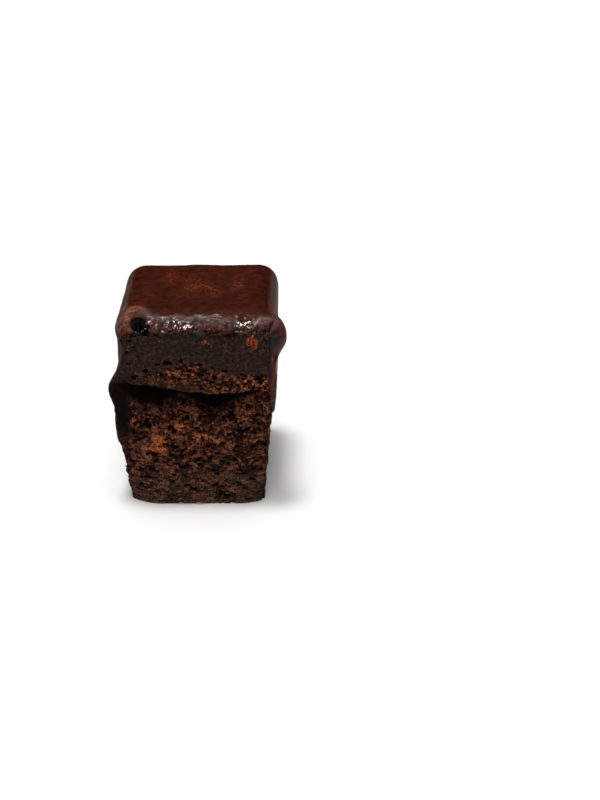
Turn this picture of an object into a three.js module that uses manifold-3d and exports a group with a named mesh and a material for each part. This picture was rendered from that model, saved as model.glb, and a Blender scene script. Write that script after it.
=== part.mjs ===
// A tall chocolate brownie, cut open at the front: porous crumb below, a dense fudge layer on it,
// and a poured chocolate glaze over the top that runs down the two sides and the back.
// Millimetres. +x is to the right of the cut face, -y the way it looks, +z up from the base.
import * as THREE from "three";
import { mergeVertices } from "three/addons/utils/BufferGeometryUtils.js";
import { ImprovedNoise } from "three/addons/math/ImprovedNoise.js";
import Module from "manifold-3d";

const wasm = await Module();
wasm.setup();

// The cake under the glaze, before it is made uneven
const HALF_WIDTH = 20;
const HALF_DEPTH = 22;
const HEIGHT = 49;
const EDGE_RADIUS = 4.6; // poured-over edges at the sides and back
const CUT_RADIUS = 1.7; // edges of the cut face
const CUT_BLEND = 9; // depth over which one radius turns into the other
const BELOW_BASE = 1.3; // the block starts here and is cut off flat at z = 0

// Half widths at the foot and higher up. The left side comes in again above its belly: at the cut by
// more, and higher up, than behind it. Both sides come in a little towards the back.
const RIGHT = { foot: 17.5, top: 19.7, topZ: 33 };
const LEFT = { foot: 19.2, belly: 22.3, bellyZ: 19, behindCut: 0.6 };
const NECK_AT_CUT = { in: 2.2, fromZ: 34, toZ: 44 };
const NECK_BEHIND = { in: 0.5, fromZ: 28, toZ: 38 };
const CUT_ZONE = { from: 12, to: 19 }; // how far forward from the middle the cut's own forms begin
const TO_BACK = { low: 0.04, high: 0.07, from: 8 };

// The fold that sticks out across the cut face: its height at the left end, the middle and the right
// end. It bulges round the left corner, and fades there.
const FOLD = { left: 32.6, middle: 29.6, right: 31.1, out: 1.9, fade: 0.7 };
const FOLD_BULGE = { out: 1.6, z: 31.5, tall: 4 };
const FOLD_STEP = 1.1; // height over which the face drops back under the fold

// The hollow under the fold is deepest in two places
const HOLLOW_HEIGHT = 8;
const HOLLOW_DEPTH = 1;
const HOLLOWS = [
  { x: -13, wide: 6, depth: 3 },
  { x: 4, wide: 7, depth: 2.9 },
];

// The foot of the cut face stands out between its corners
const FOOT = { out: 3.8, tall: 26, narrow: 11, wide: 23 };

// The top rises behind the cut edge, and has a low step near the back
const CROWN = { up: 1.7, behind: 10 };
const TOP_STEP = { up: 0.45, fromX: -7, toX: -2, y: 19, wide: 6 };

// Layers
const FUDGE_Z = 37.4;
const LAYER_GAP = 0.3;

// Glaze
const TOP_THICK = 1.7; // from the cake's surface
const SIDE_THICK = 1.2;
const RIM = 1.7; // distance over which it tapers off at its edge
const CUT_RIM = 4; // the same at the cut edge of the top, where it rolls down
const BEAD = 0.4; // extra thickness just above that
const FRONT_EDGE_Z = 48.3;
const LEFT_SAG = { down: 2.6, wide: 2.4 }; // it hangs lower at the left corner
const SIDE_EDGE_Z = 27;

// How far the side glaze reaches round each corner onto the cut face, low down and high up
const LEFT_WRAP = { low: -2, high: -7, fromZ: 22, toZ: 27 };
const RIGHT_WRAP = { low: -1, high: 1.2, fromZ: 30, toZ: 36 };

// Grid of the block: cells across, front to back, and up to and above the fold
const CELLS = { x: 20, y: 14, below: 11, above: 13 };

// Where the finished piece's box has its centre, so that the origin is under it
const BOX_CENTRE = new THREE.Vector3(-0.31, -1.25, 0);

const { clamp, lerp, smoothstep } = THREE.MathUtils;
const noise = new ImprovedNoise();
const bell = (distance, width) => Math.exp(-((distance / width) ** 2));
const tongue = (distance, width) => Math.exp(-((distance / width) ** 4));

// mulberry32: a small seeded random number generator
function seededRandom(seed) {
  let state = seed;
  return () => {
    state = (state + 0x6d2b79f5) | 0;
    let t = Math.imul(state ^ (state >>> 15), 1 | state);
    t = (t + Math.imul(t ^ (t >>> 7), 61 | t)) ^ t;
    return ((t ^ (t >>> 14)) >>> 0) / 4294967296;
  };
}

// Closed geometry to solid, and back

function solidOf(geometry) {
  const bare = geometry.clone();
  bare.deleteAttribute("normal");
  bare.deleteAttribute("uv");
  const merged = mergeVertices(bare, 1e-4);
  return new wasm.Manifold(
    new wasm.Mesh({
      numProp: 3,
      vertProperties: new Float32Array(merged.attributes.position.array),
      triVerts: new Uint32Array(merged.index.array),
    }),
  );
}

function geometryOf(solid) {
  const mesh = solid.getMesh();
  const geometry = new THREE.BufferGeometry();
  geometry.setAttribute("position", new THREE.BufferAttribute(mesh.vertProperties, 3));
  geometry.setIndex(new THREE.BufferAttribute(mesh.triVerts, 1));
  const flat = geometry.toNonIndexed();
  flat.computeVertexNormals();
  return flat;
}

const largestOf = (solid) =>
  solid.decompose().reduce((most, piece) => (piece.volume() > most.volume() ? piece : most));

// Outline of the cake: half widths by height, and how far the cut face stands out

function leftHalfWidth(y, z) {
  const atCut = smoothstep(-y, CUT_ZONE.from, CUT_ZONE.to);
  const neckAt = (name) => lerp(NECK_BEHIND[name], NECK_AT_CUT[name], atCut);
  const belly = lerp(LEFT.foot, LEFT.belly, smoothstep(z, 0, LEFT.bellyZ));
  const neck = neckAt("in") * smoothstep(z, neckAt("fromZ"), neckAt("toZ"));
  const bulge = FOLD_BULGE.out * bell(z - FOLD_BULGE.z, FOLD_BULGE.tall) * atCut;
  return belly - neck + bulge - LEFT.behindCut * (1 - atCut);
}

function halfWidth({ x, y, z }) {
  const towardsBack = smoothstep(y, TO_BACK.from, HALF_DEPTH);
  const narrower = 1 - lerp(TO_BACK.low, TO_BACK.high, smoothstep(z, 12, 40)) * towardsBack;
  const right = lerp(RIGHT.foot, RIGHT.top, smoothstep(z, 0, RIGHT.topZ));
  return (x > 0 ? right : leftHalfWidth(y, z)) * narrower;
}

function foldZ(x) {
  const toMiddle = lerp(FOLD.left, FOLD.middle, smoothstep(x, -16, 7));
  return lerp(toMiddle, FOLD.right, smoothstep(x, 9, HALF_WIDTH));
}

function hollowDepth(x) {
  const even = HOLLOW_DEPTH * (1 - smoothstep(x, 11, 18));
  return HOLLOWS.reduce((depth, hollow) => depth + hollow.depth * bell(x - hollow.x, hollow.wide), even);
}

function frontOut(x, z) {
  const fold = foldZ(x);
  const shoulder = HEIGHT - 3;
  const ends = 1 - FOLD.fade * smoothstep(-x, HALF_WIDTH - 4, HALF_WIDTH);
  const aboveFold = FOLD.out * smoothstep(shoulder - z, 0, shoulder - fold);
  const belowFold = -hollowDepth(x) * (1 - smoothstep(fold - FOLD_STEP - z, 0, HOLLOW_HEIGHT));
  const step = smoothstep(fold - z, 0, FOLD_STEP);
  const betweenCorners = 1 - smoothstep(Math.abs(x), FOOT.narrow, FOOT.wide);
  const foot = FOOT.out * smoothstep(FOOT.tall - z, 0, FOOT.tall) * betweenCorners;
  return lerp(aboveFold, belowFold, step) * ends + foot;
}

function topUp(x, y) {
  const crown = CROWN.up * smoothstep(y, -HALF_DEPTH, -HALF_DEPTH + CROWN.behind);
  const right = smoothstep(x, TOP_STEP.fromX, TOP_STEP.toX);
  const step = TOP_STEP.up * right * bell(y - TOP_STEP.y, TOP_STEP.wide);
  return crown + step + 0.2 * Math.sin(0.13 * x + 0.5) * Math.cos(0.1 * y + 0.4);
}

// Crags of the crumb, finer and deeper than those of the fudge
function relief(p) {
  const crumb = 1 - smoothstep(p.z, FUDGE_Z - 2, FUDGE_Z + 2);
  const coarse = noise.noise(p.x / 5.3, p.y / 5.3, p.z / 3.6 + 7);
  const fine = noise.noise(p.x / 2.3 + 11, p.y / 2.3, p.z / 1.9);
  return coarse * lerp(0.3, 0.8, crumb) + fine * lerp(0.12, 0.5, crumb);
}

// A point of the sharp block, moved onto the uneven cake and then out by a distance
function cakePoint(block, out) {
  const radius = lerp(CUT_RADIUS, EDGE_RADIUS, smoothstep(block.y, -HALF_DEPTH, -HALF_DEPTH + CUT_BLEND));
  const core = new THREE.Vector3(
    clamp(block.x, radius - HALF_WIDTH, HALF_WIDTH - radius),
    clamp(block.y, radius - HALF_DEPTH, HALF_DEPTH - radius),
    clamp(block.z, radius - BELOW_BASE, HEIGHT - radius),
  );
  const normal = block.clone().sub(core).normalize();
  const p = core.addScaledVector(normal, radius);
  const crags = relief(p) * smoothstep(p.z, 0, 1.5);
  p.x *= halfWidth(p) / HALF_WIDTH;
  p.y -= frontOut(p.x, p.z) * smoothstep(-p.y, 0.3 * HALF_DEPTH, HALF_DEPTH);
  p.z += topUp(p.x, p.y) * smoothstep(p.z, HEIGHT - 8, HEIGHT);
  return p.addScaledVector(normal, crags + out);
}

// Distance round the block: 0 at the middle of the cut face, growing round each side to the back.
// It is negative on the left.
function roundBlock(p) {
  const side = Math.sign(p.x) || 1;
  if (p.y <= -HALF_DEPTH) return p.x;
  if (Math.abs(p.x) >= HALF_WIDTH) return side * (HALF_WIDTH + HALF_DEPTH + p.y);
  return side * (2 * HALF_WIDTH + 2 * HALF_DEPTH - Math.abs(p.x));
}

// Runs of glaze down the sides and back: where, how wide, and how far below the even edge
const RUNS = [
  { at: -27, wide: 7.5, down: 14 },
  { at: -44, wide: 5, down: 4 },
  { at: -57, wide: 5, down: 11 },
  { at: -75, wide: 4.4, down: 6 },
  { at: 33, wide: 5, down: 5 },
  { at: 46, wide: 5, down: 11 },
  { at: 59, wide: 5, down: 3 },
  { at: 74, wide: 4.4, down: 9 },
];

function glazeEdgeZ(round) {
  const waves = 1.6 * Math.sin(round * 0.31 + 1) + 0.9 * Math.sin(round * 0.74);
  const even = SIDE_EDGE_Z + waves * smoothstep(86 - Math.abs(round), 0, 8);
  return RUNS.reduce((z, run) => z - run.down * tongue(round - run.at, run.wide), even);
}

// Cells crowd towards the edges of the block, where the shape turns. One row of them is the step
// under the fold, and follows the glaze's edge round the sides and back.
const crowd = (t, much) => Math.sin((t * much * Math.PI) / 2) / Math.sin((much * Math.PI) / 2);

function rowZ(row, round) {
  const fold = foldZ(clamp(round, -HALF_WIDTH, HALF_WIDTH));
  const bend = lerp(fold, glazeEdgeZ(round), smoothstep(Math.abs(round), HALF_WIDTH, HALF_WIDTH + 5));
  if (row <= CELLS.below) return lerp(-BELOW_BASE, bend - FOLD_STEP, row / CELLS.below);
  const up = (row - CELLS.below - 1) / (CELLS.above - 1);
  return lerp(bend, HEIGHT, (crowd(2 * up - 1, 0.55) + 1) / 2);
}

function block(outAt) {
  const rows = CELLS.below + CELLS.above;
  const geometry = new THREE.BoxGeometry(2, 2, 2, CELLS.x, CELLS.y, rows);
  const place = geometry.attributes.position;
  for (let i = 0; i < place.count; i++) {
    const sharp = new THREE.Vector3();
    sharp.x = HALF_WIDTH * crowd(place.getX(i), 0.6);
    sharp.y = HALF_DEPTH * crowd(place.getY(i), 0.6);
    sharp.z = rowZ(Math.round(((place.getZ(i) + 1) / 2) * rows), roundBlock(sharp));
    const p = cakePoint(sharp, outAt(sharp));
    place.setXYZ(i, p.x, p.y, p.z);
  }
  return solidOf(geometry);
}

// How far a point lies inside the glaze's edge, along the surface
function insideGlaze(p) {
  const round = roundBlock(p);
  const fromCorner = Math.abs(round) - HALF_WIDTH;
  const behindCut = (HALF_DEPTH + p.y) * smoothstep(p.z, HEIGHT - 4.5, HEIGHT);
  const uneven = 0.35 * Math.sin(p.x * 0.62 + 1) + 0.2 * Math.sin(p.x * 1.15);
  const sag = LEFT_SAG.down * bell(p.x + HALF_WIDTH, LEFT_SAG.wide);
  const topCover = p.z - FRONT_EDGE_Z + behindCut + uneven + sag;
  if (p.z >= HEIGHT) return topCover;
  const wrap = round < 0 ? LEFT_WRAP : RIGHT_WRAP;
  const reach = lerp(wrap.low, wrap.high, smoothstep(p.z, wrap.fromZ, wrap.toZ));
  const sideCover = Math.min(p.z - glazeEdgeZ(round), fromCorner + reach);
  return Math.max(topCover, sideCover);
}

// Thick drop that hangs beside the right corner of the cut face: it swells gently from above and from
// behind, and turns in more sharply at its tip
const DROP = { y: -18.2, down: 3.6, out: 2.5, above: 5, below: 3.2, before: 3.4, behind: 6.5 };

function dropOut(p) {
  if (p.x < 12) return 0;
  const down = (p.z >= HEIGHT ? p.x - HALF_WIDTH : HEIGHT - p.z) - DROP.down;
  const along = p.y - DROP.y;
  const tall = down < 0 ? DROP.above : DROP.below;
  const long = along < 0 ? DROP.before : DROP.behind;
  return DROP.out * Math.exp(-(Math.hypot(down / tall, along / long) ** 2.4));
}

// 1 along the cut edge of the top, 0 elsewhere
const nearCutEdge = (p) => smoothstep(-p.y, 9, 17) * smoothstep(p.z, HEIGHT - 3, HEIGHT - 1);

function glazeOut(p) {
  const rim = nearCutEdge(p);
  const inside = insideGlaze(p);
  const taper = clamp(inside / lerp(RIM, CUT_RIM, rim), -1, 1);
  const side = SIDE_THICK * lerp(0.75, 1, smoothstep(p.z, 24, 36));
  const flat = lerp(side, TOP_THICK, smoothstep(p.z, HEIGHT - 6, HEIGHT)) - LAYER_GAP;
  if (taper < 0) return LAYER_GAP + flat * taper;
  const bead = BEAD * bell(inside - RIM, 1) * (1 - rim);
  const swell = 0.2 * noise.noise(p.x / 9, p.y / 9, p.z / 9 + 3);
  return LAYER_GAP + flat * taper + (bead + swell + dropOut(p)) * taper * taper;
}

// Cutting the layers apart along an uneven surface
function fudgeZ(x, y) {
  const atFront = 2 * bell(x + 3, 8) * smoothstep(-y, 4, HALF_DEPTH);
  return FUDGE_Z + atFront + 0.5 * Math.sin(0.21 * x + 0.16 * y) + 0.3 * Math.cos(0.34 * y);
}

function layerCut() {
  const width = 2 * (HALF_WIDTH + 6);
  const depth = 2 * (HALF_DEPTH + 4);
  const sheet = new THREE.BoxGeometry(width, depth, LAYER_GAP, 16, 11, 1);
  const place = sheet.attributes.position;
  for (let i = 0; i < place.count; i++) {
    place.setZ(i, place.getZ(i) + fudgeZ(place.getX(i), place.getY(i)));
  }
  return solidOf(sheet);
}

// Pits, the hole in the glaze and the bits of nut are uneven balls, flattened and turned
function ball({ x, y, z }, radii, turn = 0) {
  const geometry = new THREE.IcosahedronGeometry(1, 1);
  geometry.scale(radii[0], radii[1], radii[2]);
  geometry.rotateY(turn);
  geometry.translate(x, y, z);
  return solidOf(geometry);
}

const PIT_COUNT = 36;

function pits() {
  const random = seededRandom(20);
  return Array.from({ length: PIT_COUNT }, (_, n) => {
    const onFront = n % 2 === 0;
    const side = Math.floor(n / 2) % 3;
    const along = random() * 2 - 1;
    const z = lerp(2.5, FUDGE_Z - 2, random());
    const size = lerp(0.8, 1.7, random() ** 2);
    const sharp = onFront
      ? new THREE.Vector3(along * 16, -HALF_DEPTH, z)
      : [
          new THREE.Vector3(-HALF_WIDTH, along * 18, z * 0.4),
          new THREE.Vector3(HALF_WIDTH, along * 18, z * 0.4),
          new THREE.Vector3(along * 16, HALF_DEPTH, z * 0.4),
        ][side];
    return ball(cakePoint(sharp, 0), [size, size, size * 0.7], random() - 0.5);
  });
}

// Hole where a bubble broke through the glaze near the left end of the cut edge
const HOLE = { x: -15.2, y: -18.4, z: 50, radii: [1.8, 2.6, 2.9] };
const HOLE_TAIL = { x: -13.9, y: -21.4, z: 48.4, radii: [0.9, 1.6, 1.4] };

// Bit of nut that shows in the cut fudge
const NUT = { x: 14.3, z: 45.6, radii: [1.15, 1.1, 1.8] };

const floorCut = new THREE.BoxGeometry(80, 80, 20).translate(0, 0, -10);

const hole = ball(HOLE, HOLE.radii, 0.3).add(ball(HOLE_TAIL, HOLE_TAIL.radii, 0.4));
const nutPlace = cakePoint(new THREE.Vector3(NUT.x, -HALF_DEPTH, NUT.z), -0.3);
const cake = block(() => 0).subtract(solidOf(floorCut)).subtract(layerCut());
const [fudgeBlock, crumbBlock] = cake
  .decompose()
  .sort((a, b) => b.boundingBox().min[2] - a.boundingBox().min[2]);
const crumb = largestOf(pits().reduce((left, pit) => left.subtract(pit), crumbBlock));
const fudge = largestOf(fudgeBlock.add(ball(nutPlace, NUT.radii, 0.2)).subtract(hole));
const glaze = largestOf(block(glazeOut).subtract(block(() => LAYER_GAP)).subtract(hole));

const FINISHES = {
  crumb: { colour: "#3b1f14", roughness: 0.95 },
  fudge: { colour: "#2b1c15", roughness: 0.7 },
  glaze: { colour: "#45201a", roughness: 0.3 },
};

const brownie = new THREE.Group();
for (const [name, solid] of Object.entries({ crumb, fudge, glaze })) {
  const { colour, roughness } = FINISHES[name];
  const material = new THREE.MeshStandardMaterial({ color: colour, roughness, metalness: 0 });
  const mesh = new THREE.Mesh(geometryOf(solid), material);
  mesh.name = name;
  mesh.position.copy(BOX_CENTRE).negate();
  brownie.add(mesh);
}

export default brownie;
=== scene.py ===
# A tall chocolate brownie, cut open at the front: porous crumb below, a dense fudge layer on it, and a
# poured chocolate glaze that runs down the sides and back. Its shapes are worked out in millimetres,
# from the sizes of its solids, on fine grids, and are stored in metres.
import math

import bmesh
import bpy
import numpy as np
from mathutils import Euler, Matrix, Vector
from mathutils.kdtree import KDTree


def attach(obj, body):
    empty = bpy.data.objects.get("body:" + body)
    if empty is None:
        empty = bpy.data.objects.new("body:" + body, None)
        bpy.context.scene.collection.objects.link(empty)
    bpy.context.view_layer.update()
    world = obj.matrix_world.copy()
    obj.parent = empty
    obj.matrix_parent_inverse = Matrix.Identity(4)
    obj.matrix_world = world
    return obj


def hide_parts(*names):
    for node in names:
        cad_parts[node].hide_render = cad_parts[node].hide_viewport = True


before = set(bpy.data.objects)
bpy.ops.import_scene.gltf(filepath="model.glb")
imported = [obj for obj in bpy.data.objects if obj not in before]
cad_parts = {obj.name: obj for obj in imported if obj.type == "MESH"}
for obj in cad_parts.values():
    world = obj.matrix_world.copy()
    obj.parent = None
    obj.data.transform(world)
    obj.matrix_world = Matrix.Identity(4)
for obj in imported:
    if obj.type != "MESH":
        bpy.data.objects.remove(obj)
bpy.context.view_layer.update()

MM = 0.001

# The cake under the glaze, in millimetres
HALF_WIDTH = 20
HALF_DEPTH = 22
HEIGHT = 49
EDGE_RADIUS = 4.6
CUT_RADIUS = 1.7
CUT_BLEND = 9
BELOW_BASE = 1.3
TO_FRAME = np.array([0.31, 1.25, 0.0])

# The front part of the cake: how far forward of the middle it begins, and where it is all front
FRONT_FROM, FRONT_FULL = 12, 18

# The fold across the cut face, the hollows under it and the foot that stands out
FOLD_LEFT, FOLD_MIDDLE, FOLD_RIGHT = 34.9, 32.3, 33.4
FOLD_OUT = 1.9
FOLD_STEP = 1.1
HOLLOW_HEIGHT = 8
HOLLOW_DEPTH = 1.0
HOLLOWS = [(-13, 6, 3.0), (4, 7, 2.9)]  # x, width, depth
FOOT_OUT = 3.8
FOOT_HEIGHT = 26

# Layers and glaze
FUDGE_Z = 37.4
TOP_THICK = 1.5
SIDE_THICK = 1.15
FRONT_EDGE_Z = 49.5
SIDE_EDGE_Z = 27
LEFT_THIN = 0.4  # share of the thickness that is left low down at the left front
DEEPEST_EDGE = 2  # how far the glaze's edge dips into the cake at most
RIM_LUMPS, WET_LUMPS = 0.13, 0.05
RUNS = [  # distance round the cake, width, length
    (-27, 7.5, 14), (-44, 5, 4), (-57, 5, 11), (-75, 4.4, 6),
    (33, 5, 5), (46, 5, 11), (59, 5, 3), (74, 4.4, 9),
]
GLAZE_LOWEST = 8.5

# The hole where a bubble broke through the glaze, and its tail: x, y, half width, half depth, depth.
# A narrow ledge of cake shows inside its edge.
HOLES = [(-15.2, -19.2, 1.7, 2.8, 3.8), (-13.3, -21.5, 0.95, 1.8, 2.6)]
HOLE_LEDGE = 0.2

# The thick drop that hangs beside the right corner of the cut face: along the edge and down from it
DROP_Y, DROP_DOWN = -18.2, 3.6
DROP_OUT = 2.5
RECESS_Z, RECESS_DEEP = 46.4, 1.2

# Cells across, front to back and up. The cut face has twice as many.
CAKE_CELLS = (130, 100)
CRUMB_ROWS = (80, 22)  # below and above the fold
FUDGE_ROWS = 34
GLAZE_CELLS = (112, 116, 100)
CUT_CELL, OTHER_CELL = 0.16 * 0.18, 0.4 * 0.36  # area of one, in square millimetres
SPARE_GLAZE = 0.9  # how far past its edge the glaze's grid is kept

PORE_SEED = 41


def smoothstep(value, low, high):
    """0 below low and 1 above high, with a smooth rise between them."""
    share = np.clip((value - low) / (high - low), 0, 1)
    return share * share * (3 - 2 * share)


def lerp(a, b, share):
    """From a at share 0 to b at share 1."""
    return a + (b - a) * share


def bell(distance, width):
    """1 at no distance, falling to 0 on both sides."""
    return np.exp(-((distance / width) ** 2))


def on_front(y):
    """1 in the front part of the cake, 0 elsewhere."""
    return smoothstep(-y, FRONT_FROM, FRONT_FULL)


def patch(p, x, z, wide, tall):
    """1 at a place on the cut face, and less with the distance from it."""
    away = ((p[:, 0] - x) / wide) ** 2
    return np.exp(-away - ((p[:, 2] - z) / tall) ** 2) * on_front(p[:, 1])


def corner_value(cells, seed):
    """A number from -1 to 1 for each corner of a lattice, always the same one."""
    mixed = cells.astype(np.uint32) * np.array([374761393, 668265263, 2246822519], np.uint32)
    mixed = mixed.sum(axis=1, dtype=np.uint32) + np.uint32(seed * 2654435 + 12345)
    for shift in (15, 13, 16):
        mixed = (mixed ^ (mixed >> np.uint32(shift))) * np.uint32(2246822519)
    return mixed.astype(np.float64) / 2**31 - 1


def noise(p, size, seed=0):
    """Smooth random bumps from -1 to 1, about `size` mm from one to the next. Each seed gives its own."""
    scaled = p / np.asarray(size, float)
    low = np.floor(scaled)
    share = scaled - low
    share = share * share * (3 - 2 * share)
    low = low.astype(np.int64)
    total = np.zeros(len(p))
    for corner in np.ndindex(2, 2, 2):
        weight = np.prod(np.where(corner, share, 1 - share), axis=1)
        total += weight * corner_value(low + np.array(corner), seed)
    return total


# Form of the cake

def front_edge_z(x):
    """Ragged lower edge of the glaze along the cut, which hangs lower at the left corner."""
    waves = 0.35 * np.sin(0.62 * x + 1) + 0.3 * np.sin(1.27 * x + 0.4) + 0.22 * np.sin(2.6 * x)
    drips = 1.3 * bell(x + 10.2, 0.9) + 0.8 * bell(x + 4.6, 0.7) + 0.7 * bell(x - 8.4, 0.8)
    drips = drips + 2.6 * bell(x + HALF_WIDTH, 2.4)
    return FRONT_EDGE_Z + 0.1 + waves + 0.5 * smoothstep(x, 9, 14) - drips


def half_width(x, y, z):
    """Half width of the cake: it leans in at the foot, and on the left also towards the top."""
    front = smoothstep(-y, 12, 19)
    right = lerp(17.5, 19.7, smoothstep(z, 0, 33))
    neck = smoothstep(z, lerp(28, 34, front), lerp(38, 44, front))
    left = 19.2 + 3.1 * smoothstep(z, 0, 19) - 0.6 * (1 - front) - lerp(0.5, 2.2, front) * neck
    left = left + 1.6 * bell(z - 31.5, 4) * front
    to_back = 1 - lerp(0.04, 0.0, smoothstep(z, 12, 36)) * smoothstep(y, 8, HALF_DEPTH)
    return np.where(x > 0, right, left) * to_back


def fold_z(x):
    """Height of the fold, which is higher at both ends than in the middle."""
    to_middle = lerp(FOLD_LEFT, FOLD_MIDDLE, smoothstep(x, -17, 3))
    return lerp(to_middle, FOLD_RIGHT, smoothstep(x, 3, 17)) + 0.15 * np.sin(0.9 * x + 1)


def front_out(x, z):
    """How far the cut face stands out: at the fold and the foot, less in the hollows between them."""
    fold = fold_z(x)
    ends = 1 - 0.85 * smoothstep(-x, 15, 19.5)
    above = FOLD_OUT * smoothstep(HEIGHT - 3 - z, 0, HEIGHT - 3 - fold)
    hollow = HOLLOW_DEPTH * (1 - smoothstep(x, 11, 18))
    for place, width, depth in HOLLOWS:
        hollow = hollow + depth * bell(x - place, width)
    below = -hollow * (1 - smoothstep(fold - FOLD_STEP - z, 0, HOLLOW_HEIGHT))
    foot = FOOT_OUT * smoothstep(FOOT_HEIGHT - z, 0, FOOT_HEIGHT) * (1 - smoothstep(np.abs(x), 11, 23))
    return lerp(above, below, smoothstep(fold - z, 0, FOLD_STEP)) * ends + foot


def top_wave(x, y):
    """The top rises from the cut edge, and is a little wavy."""
    crown = 1.7 * (1 - (1 - np.clip((y + HALF_DEPTH) / 11, 0, 1)) ** 2)
    step = 0.45 * smoothstep(x, -7, -2) * bell(y - 19, 6)
    return crown + step + 0.2 * np.sin(0.13 * x + 0.5) * np.cos(0.1 * y + 0.4)


def fudge_z(x, y):
    """Height where the fudge meets the crumb."""
    at_front = 2 * bell(x + 3, 8) * smoothstep(-y, 4, HALF_DEPTH)
    return FUDGE_Z + at_front + 0.5 * np.sin(0.21 * x + 0.16 * y) + 0.3 * np.cos(0.34 * y)


def cake_surface(sharp):
    """Points of the sharp block moved onto the cake, and the way they face."""
    radius = lerp(CUT_RADIUS, EDGE_RADIUS, smoothstep(sharp[:, 1], -HALF_DEPTH, -HALF_DEPTH + CUT_BLEND))
    core = np.stack([
        np.clip(sharp[:, 0], radius - HALF_WIDTH, HALF_WIDTH - radius),
        np.clip(sharp[:, 1], radius - HALF_DEPTH, HALF_DEPTH - radius),
        np.clip(sharp[:, 2], radius - BELOW_BASE, HEIGHT - radius),
    ], axis=1)
    away = sharp - core
    normal = away / np.maximum(np.linalg.norm(away, axis=1), 1e-9)[:, None]
    p = core + normal * radius[:, None]
    p[:, 0] *= half_width(p[:, 0], p[:, 1], p[:, 2]) / HALF_WIDTH
    p[:, 1] -= front_out(p[:, 0], p[:, 2]) * smoothstep(-p[:, 1], 0.3 * HALF_DEPTH, HALF_DEPTH)
    p[:, 2] += top_wave(p[:, 0], p[:, 1]) * smoothstep(p[:, 2], HEIGHT - 8, HEIGHT)
    return p, normal


def crags(p, fine=1.0):
    """Height of the crumb's crags, larger than those of the fudge."""
    crumb = 1 - smoothstep(p[:, 2], FUDGE_Z - 2, FUDGE_Z + 2)
    coarse = noise(p, (5.3, 5.3, 3.6), 1) * lerp(0.2, 0.55, crumb)
    small = noise(p, (2.3, 2.3, 1.7), 2) * lerp(0.06, 0.3, crumb)
    return (coarse + small * fine) * smoothstep(p[:, 2], 0, 1.5)


def grains_at(p, size, seed):
    """Grains about `size` mm apart: 1 in the crevices between them, and each grain's own value."""
    scaled = p / np.asarray(size, float)
    low = np.floor(scaled).astype(np.int64)
    nearest = np.full(len(p), 9.0)
    second = np.full(len(p), 9.0)
    own = np.zeros(len(p))
    for corner in np.ndindex(3, 3, 3):
        cell = low + np.array(corner) - 1
        centre = cell + np.stack([0.5 + 0.5 * corner_value(cell, seed + k) for k in range(3)], axis=1)
        away = np.linalg.norm(scaled - centre, axis=1)
        closer = away < nearest
        second = np.where(closer, nearest, np.minimum(second, away))
        own = np.where(closer, corner_value(cell, seed + 3), own)
        nearest = np.minimum(nearest, away)
    return 1 - smoothstep(second - nearest, 0, 0.32), own


def crumb_grains(p):
    """Crevices and grain values: round grains high up, flat layers low down."""
    round_, flat = grains_at(p, (0.72, 0.72, 0.56), 81), grains_at(p, (1.25, 1.25, 0.45), 91)
    high = smoothstep(p[:, 2] + 2.0 * noise(p, 4, 95), 11, 19)
    return [lerp(a, b, high) for a, b in zip(flat, round_)]


# Grids

FACE_AT = {"front": (1, -1), "bottom": (2, -1), "top": (2, 1)}


def grid_block(cells, without, finer_front=False):
    """A cube from -1 to 1 cut into cells, without the named faces."""
    bm = bmesh.new()
    bmesh.ops.create_cube(bm, size=2)
    bm.faces.ensure_lookup_table()
    gone = [
        face for face in bm.faces for axis, side in [FACE_AT[name] for name in without]
        if face.calc_center_median()[axis] * side > 0.9
    ]
    bmesh.ops.delete(bm, geom=gone, context="FACES_ONLY")
    for axis, count in enumerate(cells):
        along = [e for e in bm.edges if abs(e.verts[0].co[axis] - e.verts[1].co[axis]) > 1.9]
        bmesh.ops.subdivide_edges(bm, edges=along, cuts=count - 1)
    if finer_front:
        front = [e for e in bm.edges if e.verts[0].co.y + e.verts[1].co.y < -1.99999]
        bmesh.ops.subdivide_edges(bm, edges=front, cuts=1, use_grid_fill=True)
    return bm


def places(bm):
    """The points of a grid, as rows of an array."""
    return np.array([v.co for v in bm.verts])


def move(bm, p):
    """Moves the points to places given in the cake's millimetres."""
    for vertex, place in zip(bm.verts, (p + TO_FRAME) * MM):
        vertex.co = place


def lean(share, much):
    """Cells from 0 to 1 that are narrower towards 0."""
    return share + much * share * (share - 1)


def piece(name, bm, finish, values=None, nodes=()):
    """Makes a finished object that rides on the body, with values at its points for its pattern."""
    mesh = bpy.data.meshes.new(name)
    bm.to_mesh(mesh)
    bm.free()
    for label, numbers in (values or {}).items():
        attribute = mesh.attributes.new(label, "FLOAT", "POINT")
        attribute.data.foreach_set("value", np.asarray(numbers, np.float32))
    mesh.shade_smooth()
    mesh.materials.append(finish)
    made = bpy.data.objects.new(name, mesh)
    bpy.context.scene.collection.objects.link(made)
    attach(made, "root")
    if nodes:
        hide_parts(*nodes)


# Pores: bowls pressed into the surface, flatter low down

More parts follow.
